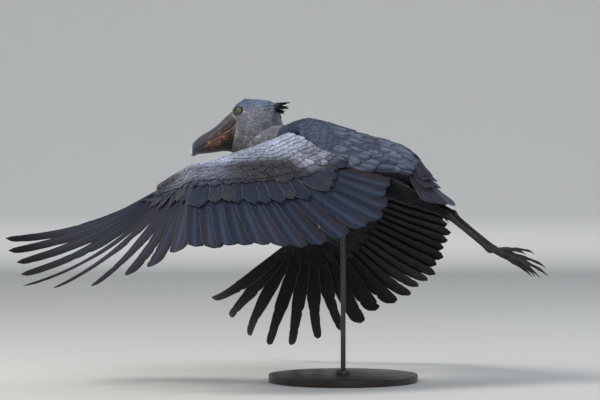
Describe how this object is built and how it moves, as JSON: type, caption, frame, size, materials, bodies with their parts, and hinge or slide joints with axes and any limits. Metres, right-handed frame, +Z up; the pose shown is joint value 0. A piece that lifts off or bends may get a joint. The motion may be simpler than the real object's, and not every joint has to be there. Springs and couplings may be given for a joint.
{
  "type": "shoebill figure on a display stand",
  "caption": "Life-size shoebill in flight with its wings sweeping down and its legs trailing, held over a round base by a steel rod.",
  "frame": {"origin": "centre of the stand's underside, on the floor", "axes": "+Z up; the bird flies towards -X with its tail and legs towards +X; its left wing, the near one in the picture, is on the -Y side"},
  "size_m": [1.6456, 1.4738, 0.9052],
  "materials": {
    "plumage": "soft slate-grey feathers",
    "flight": "dark slate flight feathers",
    "head": "short brown-grey feathers",
    "bill": "worn horn, blotched",
    "eye": "wet, pale yellow-green",
    "leg": "scaled skin, nearly black",
    "stand_wood": "satin, stained almost black",
    "stand_steel": "satin, darkened"
  },
  "bodies": {
    "root": {"neck": "plumage", "torso": "plumage", "wing_left": "flight", "wing_right": "flight", "tail": "flight", "head": "head", "eye_left": "eye", "eye_right": "eye", "bill_upper": "bill", "bill_lower": "bill", "leg_left": "plumage", "leg_right": "plumage", "tarsus_left": "leg", "tarsus_right": "leg", "foot_left": "leg", "foot_right": "leg", "stand_base": "stand_wood", "stand_rod": "stand_steel"}
  },
  "joints": []
}
